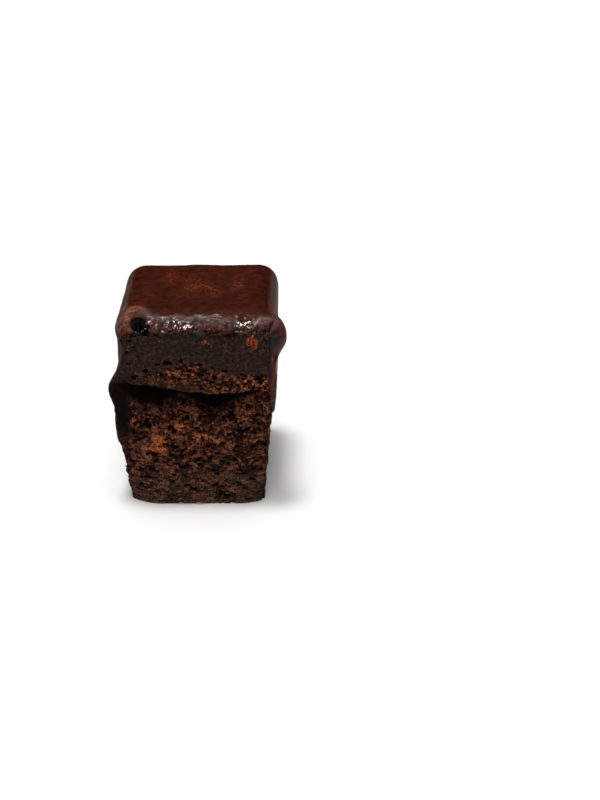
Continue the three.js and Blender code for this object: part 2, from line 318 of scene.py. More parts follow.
def pore_plan(p, normal, area, dense, rng):
    """Which points are the middle of a pore, with its half width, how flat it is and its depth."""
    front = normal[:, 1] < -0.7
    low = 1 - smoothstep(p[:, 2], 5, 18)
    bare = front | (p[:, 2] < SIDE_EDGE_Z + 3)
    often = lerp(0.85, 0.16, dense) * np.where(bare, 1, 0) * np.where(front, 1, 0.5)
    chosen = np.flatnonzero(rng.random(len(p)) < often * area)
    size = rng.random(len(chosen))
    least = np.where(front[chosen], 0.17, 0.34)
    wide = least + (0.4 * size**6 + 0.22 * size) * (1 - 0.65 * dense[chosen])
    flat = lerp(lerp(0.55, 1.0, rng.random(len(chosen))), 0.32, low[chosen])
    wide = wide * lerp(1, 1.6, low[chosen])
    deep = wide * (0.8 + 0.6 * rng.random(len(chosen)))
    return [(p[i], w, f, d) for i, w, f, d in zip(chosen, wide, flat, deep)]


NAMED_PITS = [  # x, z, half width, half height, depth, on the cut face
    (12.3, 20.7, 1.3, 0.45, 1.3), (-6.4, 15.9, 1.2, 0.4, 1.1), (-7.6, 13.5, 0.9, 0.4, 1.0),
    (-4.7, 10.4, 0.9, 0.4, 1.0), (0.3, 24.0, 0.6, 0.75, 1.2), (-3.1, 24.3, 0.6, 0.5, 1.0),
    (-7.8, 40.5, 1.3, 0.5, 1.4), (-10.2, 40.2, 0.7, 0.35, 1.0), (-4.2, 41.0, 0.4, 0.7, 1.2),
    (0.8, 39.9, 0.9, 0.4, 1.2), (4.0, 39.2, 0.5, 0.4, 0.9), (7.3, 38.5, 0.9, 0.4, 1.2),
    (11.5, 37.4, 0.6, 0.35, 0.9), (15.9, 36.4, 1.1, 0.4, 1.2), (-16.9, 36.4, 0.9, 0.6, 1.2),
    (-13.7, 38.7, 0.8, 0.5, 1.1), (4.7, 8.5, 1.0, 0.35, 0.9), (11.5, 8.5, 1.1, 0.4, 1.1),
    (9.4, 12.5, 0.9, 0.5, 1.0), (0.0, 12.8, 0.8, 0.35, 0.9), (-16.0, 18.0, 0.8, 0.5, 1.0),
    (19.4, 45.0, 0.8, 2.4, 1.6), (19.8, 43.2, 0.6, 1.2, 1.2), (-17.6, 46.6, 0.8, 0.4, 0.7),
    (-16.4, 44.9, 0.5, 0.35, 0.6), (-18.4, 43.2, 0.7, 0.4, 0.7), (-15.4, 42.3, 0.5, 0.3, 0.5),
    (-12.6, 45.6, 0.4, 0.3, 0.5), (-18.0, 40.2, 0.8, 0.35, 0.7),
]


def rim_pits(rng):
    """Gaps along the glaze's ragged edge, where it came away from the cut face."""
    x = np.linspace(-18.5, 18, 52) + rng.uniform(-0.5, 0.5, 52)
    x = x[rng.random(52) < 0.85]
    below = front_edge_z(x) - rng.uniform(0.2, 1.3, len(x))
    wide, tall = rng.uniform(0.3, 0.9, len(x)), rng.uniform(0.25, 0.5, len(x))
    return [(a, z, w, t, 0.9) for a, z, w, t in zip(x, below, wide, tall)]


def press_pores(p, normal, area, dense):
    """How deep each point is pressed in."""
    rng = np.random.default_rng(PORE_SEED)
    tree = KDTree(len(p))
    for i, place in enumerate(p):
        tree.insert(place, i)
    tree.balance()
    warped = p + 0.2 * np.stack([noise(p, 0.6, seed) for seed in (5, 6, 7)], axis=1)
    depth = np.zeros(len(p))
    facing = np.flatnonzero(normal[:, 1] < -0.4)
    pores = pore_plan(p, normal, area, dense, rng)
    for x, z, wide, tall, deep in NAMED_PITS + rim_pits(rng):
        nearest = facing[np.argmin((p[facing, 0] - x) ** 2 + (p[facing, 2] - z) ** 2)]
        pores.append((p[nearest], wide, tall / wide, deep))
    for middle, wide, flat, deep in pores:
        near = [i for _, i, _ in tree.find_range(middle, max(wide, wide * flat) + 0.3)]
        off = warped[near] - middle
        off[:, 2] /= flat
        share = 1 - (off**2).sum(axis=1) / wide**2
        depth[near] = np.maximum(depth[near], deep * np.sqrt(np.clip(share, 0, 1)))
    for x, y, wide, long, deep in HOLES:
        across, along = wide - HOLE_LEDGE, long - HOLE_LEDGE
        share = 1 - ((warped[:, 0] - x) / across) ** 2 - ((warped[:, 1] - y) / along) ** 2
        depth = np.maximum(depth, np.where(normal[:, 2] > 0.3, deep * np.sqrt(np.clip(share, 0, 1)), 0))
    return depth


# Crumb that the knife smeared smooth, on the lip of the fold and low down: x, z, half width, half height
# and strength
SMEARED = [
    (-16.5, 35.6, 7, 2.3, 1.0), (-6, 33.6, 7, 1.3, 0.9), (4, 32.4, 7, 0.9, 0.6),
    (5, 7.6, 10, 1.4, 0.4), (12.5, 4.2, 5, 1.4, 0.4),
]


def dense_part(p):
    """1 in the dense smooth cake, 0 in the open crumb."""
    x, y, z = p.T
    ragged = 1.1 * noise(p, (3.2, 3.2, 2.0), 11) + 0.6 * noise(p, (1.3, 1.3, 1.0), 12)
    fudge = smoothstep(z - fudge_z(x, y) + ragged, -0.6, 0.7)
    smeared = sum(much * patch(p, *place) for *place, much in SMEARED)
    strip = smoothstep(-x, 17.4, 19.6) * on_front(y) * smoothstep(z, 15, 23)
    return np.clip(fudge + smeared * (1 + 0.5 * ragged) + strip, 0, 1)


def painted_shade_part(p):
    """1 where shade is painted into the cake's colour, near black: in the hollow under the fold, in
    patches just under the glaze's edge, down the left end and in the hole."""
    x, y, z = p.T
    # Painted shade in the hollow under the fold.
    below = fold_z(x) - z + 0.4 * noise(p, 2.2, 13)
    reach = 1.6 + 2.6 * bell(x + 13, 8) + 1.9 * bell(x - 4, 7)
    much = 0.45 + 0.55 * np.maximum(bell(x + 13, 9), bell(x - 4, 8.5))
    hollow = 1.3 * smoothstep(below, 0.1, 0.7) * (1 - smoothstep(below, 0.9 * reach, 2.7 * reach)) * much
    # Painted shade in patches just under the glaze's edge.
    from_glaze = np.minimum(front_edge_z(x), HEIGHT + 0.3) - z
    painted_rim_gap_shade = smoothstep(noise(p, (1.5, 1.5, 0.9), 17) + 0.4 * noise(p, 0.6, 18), -0.1, 0.2)
    painted_rim_gap_shade = painted_rim_gap_shade * smoothstep(from_glaze, -0.6, 0) * (1 - smoothstep(from_glaze, 0.9, 2.3))
    # Painted shade in the hole.
    painted_hole_shade = (1 - smoothstep(hole_edge(p), 0.2, 0.7)) * smoothstep(z, HEIGHT - 1.2, HEIGHT - 0.7)
    # Painted shade down the left end.
    strip = 0.9 * smoothstep(-x, 17.2, 19.6) * smoothstep(z, 11, 24) * (1 - smoothstep(z, 33, 37))
    strip = strip * smoothstep(-y, 16.5, 20.5)
    at_front = np.maximum(np.maximum(hollow, strip), painted_rim_gap_shade) * on_front(y)
    return np.clip(np.maximum(at_front, painted_hole_shade), 0, 1)


DULL_BANDS = [(5, 7.6, 11, 1.5, 1.15), (12.5, 4.2, 6, 1.3, 1.0), (8, 11.5, 5, 0.9, 0.6)]


def dull_part(p):
    """1 in the greyish flat layers at the foot of the cut face."""
    z = p[:, 2] + 1.2 * noise(p, (6, 6, 2), 19)
    streaks = 0.75 + 0.4 * noise(p, (6, 6, 0.8), 20)
    bands = sum(much * patch(p, *place) for *place, much in DULL_BANDS)
    return np.clip(np.maximum(0.5 * (1 - smoothstep(z, 5, 14)), bands * streaks), 0, 1)


# Reddish and orange-brown bits of crumb: x, z, half width, half height and strength, on the cut face
BRIGHT_BITS = [
    (-5.7, 21.4, 1.7, 1.0, 1.3), (-10.6, 17.7, 1.7, 1.0, 1.4), (-11.8, 15.3, 2.8, 0.8, 1.3),
    (0.2, 18.9, 2.8, 0.8, 0.95), (4.4, 17.7, 2.0, 0.7, 0.85), (-17.9, 22.9, 0.9, 1.8, 0.7),
    (-7.1, 38.2, 1.6, 0.6, 0.7), (-1.4, 37.6, 2.2, 0.6, 0.5), (5.9, 33.5, 2.6, 0.9, 0.5),
    (12.5, 34.1, 3.2, 1.3, 0.45), (17.5, 33.5, 1.3, 2.8, 0.6), (14.5, 36.0, 2.4, 0.8, 0.35),
]


def bright_part(p, own):
    """How far the crumb is orange-brown, grain by grain."""
    named = sum(much * patch(p, *place) for *place, much in BRIGHT_BITS)
    return smoothstep(own + 2.6 * np.clip(named, 0, 1), 0.9, 1.7)


def cake_layers():
    """The crumb and the fudge on it, which meet along an uneven surface."""
    sheets = [
        grid_block((*CAKE_CELLS, sum(CRUMB_ROWS)), ("top", "bottom"), finer_front=True),
        grid_block((*CAKE_CELLS, FUDGE_ROWS), ("bottom",), finer_front=True),
    ]
    sharps = []
    for number, bm in enumerate(sheets):
        cube = places(bm)
        x = HALF_WIDTH * cube[:, 0]
        y = HALF_DEPTH * (2 * lean((cube[:, 1] + 1) / 2, 0.25) - 1)
        up = (cube[:, 2] + 1) / 2
        meet = fudge_z(x, y)
        if number == 0:
            share = CRUMB_ROWS[0] / sum(CRUMB_ROWS)
            fold = fold_z(x) - 0.5 * FOLD_STEP
            z = np.where(up <= share, fold * up / share, lerp(fold, meet, (up - share) / (1 - share)))
        else:
            z = lerp(meet, HEIGHT, up)
        sharps.append(np.stack([x, y, z], axis=1))
    count = len(sharps[0])
    p, normal = cake_surface(np.concatenate(sharps))
    for_area = np.where(normal[:, 1] < -0.7, CUT_CELL, OTHER_CELL)
    dense = dense_part(p)
    crevice, own = crumb_grains(p)
    p = p + normal * crags(p)[:, None]
    depth = press_pores(p, normal, for_area, dense)
    # Where shade is painted into the cake's colour.
    shade = painted_shade_part(p)
    open_ = (1 - 0.86 * dense) * smoothstep(p[:, 2], 0, 1.5)
    lumps = 0.1 * noise(p, 1.9, 32) * dense + 0.04 * noise(p, 0.5, 31)
    grain = open_ * (0.15 * own - 0.32 * crevice) + lumps
    p = p + normal * (grain - depth)[:, None]
    p[:count][np.isclose(places(sheets[0])[:, 2], -1), 2] = 0
    # The pore value paints shade into the pores and the crevices between grains, darker the deeper they
    # are.
    values = {
        "pore": np.clip(depth / 0.7 + 0.55 * crevice * open_, 0, 1), "dense": dense,
        "own": 0.5 + 0.5 * own, "bright": bright_part(p, own) * (1 - dense), "shade": shade,
        "dull": dull_part(p),
    }
    for bm, part in zip(sheets, (slice(0, count), slice(count, None))):
        move(bm, p[part])
        bmesh.ops.holes_fill(bm, edges=bm.edges, sides=0)
        bmesh.ops.recalc_face_normals(bm, faces=bm.faces)
    crumb_values = {label: numbers[:count] for label, numbers in values.items()}
    fudge_values = {label: numbers[count:] for label, numbers in values.items()}
    piece("cake_crumb", sheets[0], FINISHES["crumb"], crumb_values, ["crumb"])
    piece("cake_fudge", sheets[1], FINISHES["fudge"], fudge_values, ["fudge"])


# Glaze

def round_block(p):
    """Distance round the block, from the middle of the cut face to the back, negative on the left."""
    side = np.where(p[:, 0] < 0, -1, 1)
    at_side = side * (HALF_WIDTH + HALF_DEPTH + p[:, 1])
    at_back = side * (2 * HALF_WIDTH + 2 * HALF_DEPTH - np.abs(p[:, 0]))
    past = np.where(np.abs(p[:, 0]) > HALF_WIDTH - 1e-4, at_side, at_back)
    return np.where(p[:, 1] < -HALF_DEPTH + 1e-4, p[:, 0], past)


def glaze_edge(round_):
    """Height of the glaze's lower edge on the sides and back, with its runs."""
    waves = 1.6 * np.sin(round_ * 0.31 + 1) + 0.9 * np.sin(round_ * 0.74)
    z = SIDE_EDGE_Z + waves * smoothstep(86 - np.abs(round_), 0, 8)
    for at, wide, down in RUNS:
        z = z - down * np.exp(-(((round_ - at) / wide) ** 4))
    return z


def near_top(sharp):
    """Whether the hole can cut the glaze here."""
    return sharp[:, 2] > HEIGHT - 1.5


def hole_edge(p):
    """Distance from the edge of the nearest hole, negative inside it."""
    from_each = [
        (np.hypot((p[:, 0] - x) / wide, (p[:, 1] - y) / long) - 1) * wide for x, y, wide, long, _ in HOLES
    ]
    return np.minimum(*from_each) + 0.25 * noise(p, 1.2, 55)


def inside_glaze(p):
    """How far a point of the sharp block lies inside the glaze's edge, in millimetres."""
    round_ = round_block(p)
    from_corner = np.abs(round_) - HALF_WIDTH
    behind_cut = (HALF_DEPTH + p[:, 1]) * smoothstep(p[:, 2], HEIGHT - 4.5, HEIGHT)
    ragged = 0.3 * noise(p, 1.1, 52) + 0.3 * noise(p, 0.55, 54)
    top_cover = p[:, 2] - front_edge_z(p[:, 0]) + behind_cut + ragged
    left = lerp(-2.0, -7.0, smoothstep(p[:, 2], 22, 27))
    crease_and_painted_shade = smoothstep(p[:, 2], 40.5, 42.5) * (1 - smoothstep(p[:, 2], 47, 48.3))
    right = lerp(-1, 1.2, smoothstep(p[:, 2], 30, 36)) - 1.7 * crease_and_painted_shade
    reach = np.where(round_ < 0, left, right) + 0.4 * noise(p, 3, 53)
    side_cover = np.minimum(p[:, 2] - glaze_edge(round_), from_corner + reach)
    inside = np.where(p[:, 2] > HEIGHT - 1e-4, top_cover, np.maximum(top_cover, side_cover))
    from_hole = hole_edge(p)
    steep = np.where(from_hole < 0, 8, 4) * from_hole
    return np.where(near_top(p), np.minimum(inside, steep), inside)


TOP_BUMPS = [  # x, y, width, height
    (-8.8, 10.2, 3.2, 0.3), (-2.5, 4.1, 2.6, 0.25), (1.2, 2.6, 1.8, 0.2), (3.8, -1.0, 2.2, 0.25),
    (9.9, 4.1, 2.2, 0.3), (12, 14, 3.0, 0.25), (-13, -3, 3.5, 0.2),
]

# Where the glaze is thin and shows reddish to orange-brown: x, y, half width, half depth, strength
THIN_MARKS = [
    (-18.4, -17.0, 1.5, 3.6, 1.0), (-16.2, -12.6, 1.8, 2.6, 0.8), (-16.4, -22.0, 1.8, 1.0, 0.9),
    (-8.8, 10.2, 1.8, 5, 0.36),
    (-2.5, 4.1, 2.6, 6, 0.45), (1.2, 2.6, 1.8, 4, 0.34), (3.8, -1.0, 2.0, 4, 0.34),
    (9.9, 4.1, 1.8, 5, 0.42),
]

# Where the rim of the glaze is still wet and glints: x, y, half width, half depth, strength
WET_SPOTS = [
    (-7.0, -20.0, 3.4, 2.2, 1.0), (-2.4, -21.0, 2.4, 1.6, 0.9), (12.8, -19.4, 2.8, 2.2, 1.0),
    (4.6, -18.5, 4.5, 1.8, 0.3), (-11.5, -19.5, 1.6, 1.6, 0.4),
]


def spots(p, named):
    """Soft spots on the top: x, y, half width, half depth and strength of each."""
    total = sum(much * np.exp(-(((p[:, 0] - x) / wide) ** 2) - ((p[:, 1] - y) / long) ** 2)
                for x, y, wide, long, much in named)
    return np.clip(total, 0, 1)


def near_rim(sharp):
    """1 at the cut edge of the top, 0 elsewhere."""
    return smoothstep(-sharp[:, 1], 6, 18) * smoothstep(sharp[:, 2], HEIGHT - 3, HEIGHT - 1)


def drop_out(sharp):
    """The drop swells gently from above and turns in sharply below its tip."""
    across = np.where(sharp[:, 2] > HEIGHT - 1e-4, sharp[:, 0] - HALF_WIDTH, HEIGHT - sharp[:, 2])
    tall = np.where(across < DROP_DOWN, 5.0, 3.2)
    long = np.where(sharp[:, 1] < DROP_Y, 3.4, 6.5)
    away = np.hypot((across - DROP_DOWN) / tall, (sharp[:, 1] - DROP_Y) / long)
    return DROP_OUT * np.exp(-(away ** 2.4)) * (sharp[:, 0] > 12)


def at_corner(sharp):
    """1 at the right front corner, where the drop hangs."""
    return (sharp[:, 0] > 12) * smoothstep(-sharp[:, 1], 17, 20)


def beside_drop(sharp, p):
    """1 in the recess between the cut face and the drop."""
    return at_corner(sharp) * bell(round_block(sharp) - 20.3, 1.3) * bell(p[:, 2] - RECESS_Z, 2.8)


def coat_thickness(sharp, p, inside):
    """Thickness of the glaze over the cake, below 0 outside its edge, where it dips into the cake."""
    rim = near_rim(sharp)
    left_front = (sharp[:, 0] < 0) * smoothstep(-sharp[:, 1], 6, 14) * smoothstep(46 - sharp[:, 2], 0, 3)
    side = SIDE_THICK * lerp(0.7, 1, smoothstep(sharp[:, 2], 24, 36)) * lerp(1, LEFT_THIN, left_front)
    flat = lerp(side, TOP_THICK, smoothstep(sharp[:, 2], HEIGHT - 6, HEIGHT))
    steep = lerp(1.7, 0.5, rim)
    lip = 0.18 * rim * (1 - np.exp(-6 * np.maximum(inside, 0)))
    rounded = flat * (1 - np.exp(-steep * np.maximum(inside, 0) / flat)) + lip
    bead = 0.3 * bell(inside - 1.4, 0.9) * (1 - rim)
    thick = np.where(inside < 0, np.maximum(1.7 * inside, -DEEPEST_EDGE), rounded + bead)
    on = smoothstep(inside, 0, 2)
    thick = thick + on * (0.16 * noise(p, 8, 61) + 0.04 * noise(p, 2.4, 62))
    rough = rim * smoothstep(inside, 0, 0.8) * (1 - smoothstep(inside, 3, 7))
    small = 0.08 + WET_LUMPS * spots(sharp, WET_SPOTS)
    thick = thick + rough * (RIM_LUMPS * noise(p, 1.7, 63) + small * noise(p, 1.0, 64))
    for x, y, wide, high in TOP_BUMPS:
        away = np.hypot(p[:, 0] - x, p[:, 1] - y)
        thick = thick + high * bell(away, wide) * (sharp[:, 2] > HEIGHT - 1)
    return thick + (drop_out(sharp) - RECESS_DEEP * beside_drop(sharp, p)) * on


def corner_colours(sharp, p, outer):
    """Painted shade in the creased corner beside the cut face and in the recess beside the drop, and the
    red-brown run below the drop.
    """
    z = outer[:, 2]
    x = outer[:, 0] + 0.07 * (45 - z) + 0.25 * np.sin(0.8 * z)
    corner = at_corner(sharp)
    # Painted shade along the creased corner and in the recess beside the drop.
    crease_and_painted_shade = 1.4 * corner * bell(x - 19.3, 0.5) * smoothstep(z, 33, 36) * smoothstep(49 - z, 0, 2)
    crease_and_painted_shade = np.clip(np.maximum(crease_and_painted_shade, 1.5 * beside_drop(sharp, p)), 0, 1)
    run = bell(x - 20.3, 0.42) * smoothstep(47 - z, 0, 2) * smoothstep(z, 28, 33)
    run = run * (0.85 + 0.3 * noise(outer, 1.5, 65))
    return crease_and_painted_shade, corner * np.maximum(run, 0.3 * drop_out(sharp))


def dry_part(sharp, p, outer):
    """Roughness of the glaze where it is drier: on its sides, round the hole and at the corner."""
    z = outer[:, 2]
    by_hole = bell(p[:, 0] + 16.3, 4.2) * bell(p[:, 1] + 16, 5)
    at_side = smoothstep(np.abs(sharp[:, 0]), 17, 20)
    dry = 0.65 * np.maximum(at_side, smoothstep(HEIGHT - sharp[:, 2], 0, 3))
    dry = np.maximum(dry, 0.75 * at_side * smoothstep(sharp[:, 2], HEIGHT - 5, HEIGHT - 1))
    at_drop = lerp(lerp(0.65, 0.4, smoothstep(z, 36, 39)), 0.85, smoothstep(z, 47.5, 49))
    return np.maximum(lerp(dry, at_drop, at_corner(sharp) * at_side), by_hole)


def rim_part(sharp):
    """1 on the lumpy rim along the cut edge, which ends unevenly towards the back."""
    to_rim = sharp[:, 1] + HALF_DEPTH + 1.6 * noise(sharp, 2.6, 66)
    return near_rim(sharp) * (1 - smoothstep(to_rim, 1.5, 8)) * (1 - smoothstep(sharp[:, 0], 18.5, 20))


def glaze_sheet():
    """The grid of the glaze, the values for its pattern, and its outer and inner surface."""
    bm = grid_block(GLAZE_CELLS, ("bottom",))
    cube = places(bm)
    share = (cube + 1) / 2
    sharp = np.stack([
        HALF_WIDTH * cube[:, 0],
        HALF_DEPTH * (2 * lean(share[:, 1], 0.35) - 1),
        lerp(HEIGHT, GLAZE_LOWEST, lean(1 - share[:, 2], 0.35)),
    ], axis=1)
    inside = inside_glaze(sharp)
    p, normal = cake_surface(sharp)
    outer = p + normal * (0.35 * crags(p, 0.2) + coat_thickness(sharp, p, inside))[:, None]
    inner = p + normal * (crags(p) - 0.35)[:, None]
    on_top = sharp[:, 2] > HEIGHT - 4
    # Painted shade for the creased corner and recess, and the run's own colour.
    crease_and_painted_shade, run = corner_colours(sharp, p, outer)
    # The rim value also paints a sheen into the colour.
    values = {
        "inside": inside, "rim": rim_part(sharp), "crease_and_painted_shade": crease_and_painted_shade, "run": run,
        "thin": spots(p, THIN_MARKS) * on_top, "wet": spots(sharp, WET_SPOTS) * on_top,
        # The hole value paints shade into the hole's walls.
        "hole": (1 - smoothstep(hole_edge(sharp), 0.0, 0.4)) * near_top(sharp),
        "dry": dry_part(sharp, p, outer),
    }
    return bm, values, outer, inner


def glaze_piece():
    """The coat of glaze: its outer and inner surface, joined round their edge."""
    bm, values, outer, inner = glaze_sheet()
    inside = values["inside"]
    bm.verts.ensure_lookup_table()
    number = bm.verts.layers.int.new("number")
    for i, vertex in enumerate(bm.verts):
        vertex[number] = i
    bare = [face for face in bm.faces if max(inside[v[number]] for v in face.verts) < -SPARE_GLAZE]
    bmesh.ops.delete(bm, geom=bare, context="FACES")
    sheet = list(bm.faces)
    outer_verts = set(bm.verts)
    bmesh.ops.extrude_face_region(bm, geom=sheet, use_keep_orig=True)
    is_outer = [v in outer_verts for v in bm.verts]
    picked = np.array([v[number] for v in bm.verts])
    p = np.where(np.array(is_outer)[:, None], outer[picked], inner[picked])
    move(bm, p)
    bmesh.ops.recalc_face_normals(bm, faces=bm.faces)
    picked_values = {label: numbers[picked] for label, numbers in values.items()}
    piece("glaze_coat", bm, FINISHES["glaze"], picked_values, ["glaze"])


# Materials

def linear(code):
    """An sRGB hex colour as linear light."""
    parts = [int(code[i:i + 2], 16) / 255 for i in (1, 3, 5)]
    return [c / 12.92 if c <= 0.04045 else ((c + 0.055) / 1.055) ** 2.4 for c in parts] + [1]


# Settings of the nodes that are used most
COLOURS = {"data_type": "RGBA"}
SMOOTH = {"interpolation_type": "SMOOTHSTEP"}
TIMES, PLUS, MINUS, LARGER = (
    {"operation": name} for name in ("MULTIPLY", "ADD", "SUBTRACT", "MAXIMUM")
)


def add(tree, kind, settings, *values, out=None, **named):
    """Adds a node and gives one of its outputs. The values go into the inputs that it shows, in their
    order or by name, each a number, a hex colour or another node's output."""
    node = tree.nodes.new("ShaderNode" + kind)
    for name, setting in settings.items():
        setattr(node, name, setting)
    shown = [socket for socket in node.inputs if socket.enabled]
    by_name = [(node.inputs[name], value) for name, value in named.items()]
    for socket, value in [*zip(shown, values), *by_name]:
        if isinstance(value, bpy.types.NodeSocket):
            tree.links.new(value, socket)
        else:
            socket.default_value = linear(value) if isinstance(value, str) else value
    return node.outputs[out] if out else next(socket for socket in node.outputs if socket.enabled)


def new_material(name, labels=()):
    """A material with its tree, its shader, the place in the object and the values that the mesh
    stores."""
    material = bpy.data.materials.new(name)
    material.use_nodes = True
    tree = material.node_tree
    place = add(tree, "TexCoord", {}, out="Object")
    stored = [add(tree, "Attribute", {"attribute_name": label}, out="Fac") for label in labels]
    return material, tree, tree.nodes["Principled BSDF"], place, stored


def every(size_mm):
    """Scale of a noise with one grain about every size_mm."""
    return 1 / (size_mm * MM)


def patterns(tree, place, wanted):
    """A pattern from 0 to 1 for each row: size of its grains in millimetres, detail, roughness, and the
    values of the noise that give 0 and 1."""
    made = []
    for size_mm, detail, roughness, low, high in wanted:
        grains = add(tree, "TexNoise", {}, place, every(size_mm), detail, roughness)
        made.append(add(tree, "MapRange", SMOOTH, grains, low, high))
    return made


def layered(tree, colour, *layers):
    """A colour with others laid over it. Each layer has its pattern, its strength and its colour."""
    for pattern, strength, over in layers:
        share = add(tree, "Math", TIMES, pattern, strength)
        colour = add(tree, "Mix", COLOURS, share, colour, over)
    return colour


def cake_material(name, roughness):
    """Baked chocolate cake, cut with a knife: dry grains between open pores, and smooth where it is
    dense. Its finest flecks are drawn coarser than real ones, so that they show. Shade is painted into
    its pores, crevices and hollows, and glints onto the fudge as sparse pale dots."""
    labels = ("pore", "dense", "own", "bright", "shade", "dull")
    material, tree, shader, place, stored = new_material(name, labels)
    pore, dense, own, bright, shade, dull = stored
    flatter = add(tree, "Mapping", {}, Vector=place, Scale=(0.8, 0.8, 1.5))
    flecks = add(tree, "Math", TIMES, add(tree, "TexNoise", {}, flatter, every(0.36), 4, 0.7), 1.4)
    clouds = add(tree, "Math", TIMES, add(tree, "TexNoise", {}, place, every(3.2), 2, 0.55), 0.9)
    pale = add(tree, "Math", PLUS, add(tree, "Math", TIMES, own, 0.42), flecks)
    pale = add(tree, "MapRange", SMOOTH, add(tree, "Math", PLUS, pale, clouds), 1.2, 1.95)
    grey = add(tree, "MapRange", SMOOTH, flecks, 0.55, 0.95)
    red, orange, mottled, painted_glint_specks, dark = patterns(tree, place, [
        (1.2, 4, 0.6, 0.5, 0.66), (0.45, 2, 0.55, 0.38, 0.62), (0.75, 4, 0.65, 0.36, 0.8),
        (0.7, 2, 0.55, 0.68, 0.74), (3.5, 3, 0.55, 0.45, 0.65),
    ])
    red = add(tree, "Math", TIMES, red, add(tree, "MapRange", SMOOTH, own, 0.3, 0.8))
    crumb = layered(
        tree, add(tree, "Mix", COLOURS, pale, "#120906", "#a06048"),
        (dull, 0.85, add(tree, "Mix", COLOURS, grey, "#2a2019", "#5a4c40")),
        (red, 0.6, "#85402b"),
        (bright, 1, add(tree, "Mix", COLOURS, orange, "#6f2e1c", "#b86c38")),
    )
    fudge = layered(
        tree, add(tree, "Mix", COLOURS, mottled, "#120a07", "#453124"),
        # Painted glints: sparse pale dots on the fudge.
        (painted_glint_specks, 0.6, "#5c4638"), (dark, 0.6, "#1d150f"),
    )
    # Painted shade in the pores and crevices, darker the deeper they are.
    painted_pore_shade = add(tree, "MapRange", SMOOTH, pore, 0.1, 0.95)
    # Painted shade, near black, where the shade value is set.
    colour = layered(tree, crumb, (dense, 1, fudge), (painted_pore_shade, 1, "#0c0503"), (shade, 1, "#070302"))
    tree.links.new(colour, shader.inputs["Base Color"])
    tree.links.new(add(tree, "Math", LARGER, shade, roughness), shader.inputs["Roughness"])
    shader.inputs["IOR"].default_value = 1.4
    shader.inputs["Specular IOR Level"].default_value = 0.1
    grit = add(tree, "TexNoise", {}, place, every(0.4), 4, 0.7)
    height = add(tree, "Math", TIMES, grit, add(tree, "Math", MINUS, 1.15, dense))
    bump = add(tree, "Bump", {}, Height=height, Strength=0.9, Distance=0.3 * MM)
    tree.links.new(bump, shader.inputs["Normal"])
    return material


def glaze_material():
    """Melted chocolate poured on and set: satin on top, drier on the sides and round the hole, with wet
    glints on its lumpy rim. The rim is painted lighter, with pale dots that are partly the chocolate's
    own haze and partly a painted sheen; shade is painted between the rim's lumps, beside the drop and in
    the hole."""
    labels = ("rim", "thin", "hole", "wet", "dry", "crease_and_painted_shade", "run")
    material, tree, shader, place, stored = new_material("set_chocolate_glaze", labels)
    rim, thin, hole, wet, dry, crease_and_painted_shade, run = stored
    clouds, patches, bloom_and_painted_sheen = patterns(tree, place, [
        (2.4, 5, 0.7, 0.3, 0.75), (0.9, 3, 0.55, 0.4, 0.68), (0.5, 2, 0.55, 0.6, 0.7),
    ])
    lumps = add(tree, "TexNoise", {}, place, every(1.1), 1, 0.5)
    # Painted shade between the rim's lumps, and in the creased corner and recess beside the drop.
    painted_gap_shade = add(tree, "Math", MINUS, 1, add(tree, "MapRange", SMOOTH, lumps, 0.38, 0.48))
    painted_gap_shade = add(tree, "Math", LARGER, add(tree, "Math", TIMES, painted_gap_shade, rim), crease_and_painted_shade)
    body = layered(
        tree, add(tree, "Mix", COLOURS, clouds, "#220a04", "#3b150b"),
        # Painted sheen: the rim is lightened, and its pale dots are partly the chocolate's own haze and
        # partly painted sheen.
        (rim, 0.3, "#40200f"), (add(tree, "Math", TIMES, thin, patches), 1, "#7a371c"),
        (run, 1, "#4d160a"), (add(tree, "Math", TIMES, rim, bloom_and_painted_sheen), 0.6, "#905f40"),
        # Painted shade in the hole, near black.
        (painted_gap_shade, 1, "#0e0402"), (hole, 1, "#050202"),
    )
    tree.links.new(body, shader.inputs["Base Color"])
    speckled = add(tree, "Math", TIMES, wet, add(tree, "MapRange", SMOOTH, lumps, 0.44, 0.52))
    rough = add(tree, "Math", LARGER, add(tree, "Math", LARGER, rim, dry), 0.26)
    rough = add(tree, "Math", MINUS, rough, speckled)
    rough = add(tree, "Math", TIMES, rough, add(tree, "Math", MINUS, 1, hole))
    rough = add(tree, "Math", LARGER, rough, 0.09)
    tree.links.new(rough, shader.inputs["Roughness"])
    shader.inputs["IOR"].default_value = 1.46
    shader.inputs["Specular IOR Level"].default_value = 0.27
    swells = add(tree, "TexNoise", {}, place, every(2.2), 2, 0.55)
    height = add(tree, "Math", TIMES, lumps, rim)
    height = add(tree, "Math", PLUS, height, add(tree, "Math", TIMES, swells, 0.15))
    bump = add(tree, "Bump", {}, Height=height, Strength=1.0, Distance=0.32 * MM)
    tree.links.new(bump, shader.inputs["Normal"])
    return material


def nut_material():
    """Roasted nut, broken: a dry grooved orange-brown."""
    material, tree, shader, place, _ = new_material("roasted_nut")
    grooves = patterns(tree, place, [(0.5, 3, 0.55, 0.4, 0.62)])[0]
    colour = add(tree, "Mix", COLOURS, grooves, "#33100a", "#8a3a1a")
    tree.links.new(colour, shader.inputs["Base Color"])
    shader.inputs["Roughness"].default_value = 0.6
    shader.inputs["Specular IOR Level"].default_value = 0.1
    return material


def board_material():
    """Painted white board, matt, with hardly any change of tone."""
    material, tree, shader, place, _ = new_material("white_board")
    tone = add(tree, "TexNoise", {}, place, every(60), 1, 0.55)
    shade = add(tree, "Mix", COLOURS, tone, "#c9c9c8", "#cbcbca")
    tree.links.new(shade, shader.inputs["Base Color"])
    shader.inputs["Roughness"].default_value = 0.9
    shader.inputs["Specular IOR Level"].default_value = 0.1
    return material


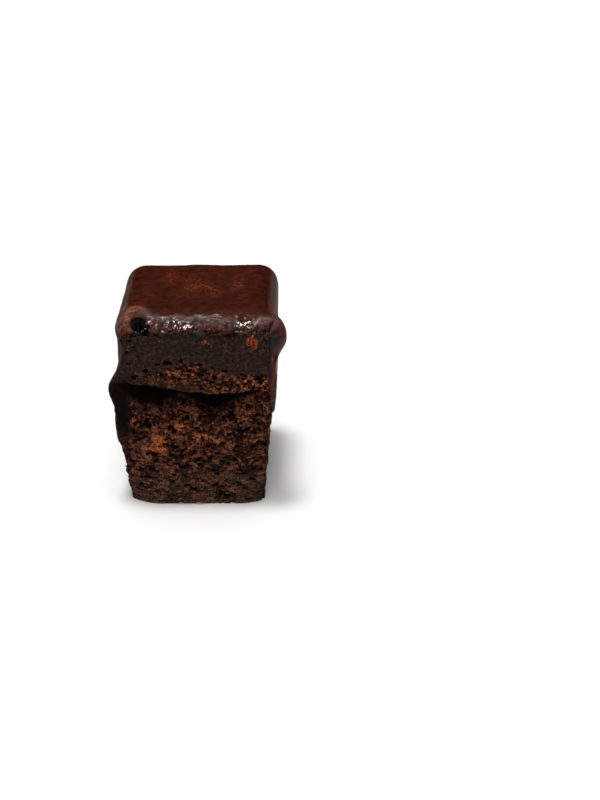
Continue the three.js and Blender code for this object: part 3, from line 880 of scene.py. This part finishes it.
FINISHES = {
    "crumb": cake_material("baked_chocolate_crumb", 0.85),
    "fudge": cake_material("dense_fudge_cut_smooth", 0.6),
    "glaze": glaze_material(),
    "nut": nut_material(),
}


# Bits of nut in the fudge: x, z and half sizes across and up, on the cut face
NUT_BITS = [
    (13.5, 46.3, 0.6, 1.3), (14.5, 46.4, 0.75, 1.9), (15.5, 46.0, 0.65, 1.6), (14.9, 44.9, 0.6, 0.8),
    (2.3, 46.3, 0.5, 0.6), (1.5, 46.0, 0.4, 0.4), (3.1, 45.9, 0.4, 0.35), (12.2, 44.8, 0.4, 0.35),
    (-9.7, 46.6, 0.4, 0.3), (-8.9, 46.3, 0.3, 0.25),
]


def nut_piece():
    """The bits of nut, uneven lumps set into the cut face of the fudge."""
    bm = bmesh.new()
    for number, (x, z, wide, tall) in enumerate(NUT_BITS):
        made = bmesh.ops.create_icosphere(bm, subdivisions=4, radius=1)["verts"]
        shape = np.array([v.co for v in made])
        ridges = 0.05 * np.sin(6 * shape[:, 0]) + 0.12 * noise(shape + 9 * number, 0.9, 71)
        shape = shape * (1 + ridges)[:, None] * np.array([wide, 0.9 * wide, tall])
        turn = 0.16 - 0.1 * (number % 4)
        x_part = shape[:, 0] * math.cos(turn) + shape[:, 2] * math.sin(turn)
        z_part = shape[:, 2] * math.cos(turn) - shape[:, 0] * math.sin(turn)
        y = cake_surface(np.array([[x, -HALF_DEPTH, z]]))[0][0, 1] + 0.25 * wide
        p = np.stack([x_part + x, shape[:, 1] + y, z_part + z], axis=1)
        for vertex, place in zip(made, (p + TO_FRAME) * MM):
            vertex.co = place
    piece("nut_bits", bm, FINISHES["nut"])


# Stage

CAMERA_AT = (27.31, -367.25, 198.5)
LOOKS_DOWN = 26
LENS = 65.25
BOARD_HALF = 0.8  # metres

# Soft lights: strength, how wide each looks in degrees, how it is turned in degrees, whether it lights
# the surfaces and whether it shows in the gloss
LIGHTS = {
    "overhead_softbox": (3.0, 56, (-12, -3, 0), True, False),
    "small_key": (2.3, 12, (-6, -5, 0), True, True),
    "front_fill": (1.5, 50, (62, -10, 0), True, False),
    "small_window": (0.12, 7, (55, -6, 0), True, True),
    "gloss_card": (6.0, 18, (-2, -4, 0), False, True),
}


def stage():
    """The white board and the camera."""
    bm = bmesh.new()
    bmesh.ops.create_grid(bm, x_segments=2, y_segments=2, size=BOARD_HALF)
    mesh = bpy.data.meshes.new("board")
    bm.to_mesh(mesh)
    bm.free()
    mesh.materials.append(board_material())
    board = bpy.data.objects.new("board", mesh)
    bpy.context.scene.collection.objects.link(board)
    camera = bpy.data.cameras.new("camera")
    camera.lens = LENS
    camera.sensor_width = 36
    camera.clip_start = 0.01
    camera.clip_end = 10
    shot = bpy.data.objects.new("camera", camera)
    shot.location = Vector(CAMERA_AT) * MM
    shot.rotation_euler = Euler((math.radians(90 - LOOKS_DOWN), 0, 0))
    bpy.context.scene.collection.objects.link(shot)
    bpy.context.scene.camera = shot


def lights():
    """Makes the soft lights in the list."""
    for name, (strength, wide, turn, lights_up, mirrored) in LIGHTS.items():
        sun = bpy.data.lights.new(name, "SUN")
        sun.energy = strength
        sun.angle = math.radians(wide)
        lamp = bpy.data.objects.new(name, sun)
        lamp.rotation_euler = Euler([math.radians(a) for a in turn])
        lamp.visible_diffuse = lights_up
        lamp.visible_glossy = mirrored
        bpy.context.scene.collection.objects.link(lamp)


def backdrop():
    """White behind the board, which neither lights the cake nor shows in its gloss."""
    world = bpy.data.worlds.new("studio")
    world.use_nodes = True
    background = world.node_tree.nodes["Background"]
    background.inputs["Color"].default_value = (1, 1, 1, 1)
    background.inputs["Strength"].default_value = 1.0
    world.cycles_visibility.diffuse = False
    world.cycles_visibility.glossy = False
    bpy.context.scene.world = world
    bpy.context.scene.view_settings.view_transform = "Standard"


cake_layers()
glaze_piece()
nut_piece()
stage()
lights()
backdrop()
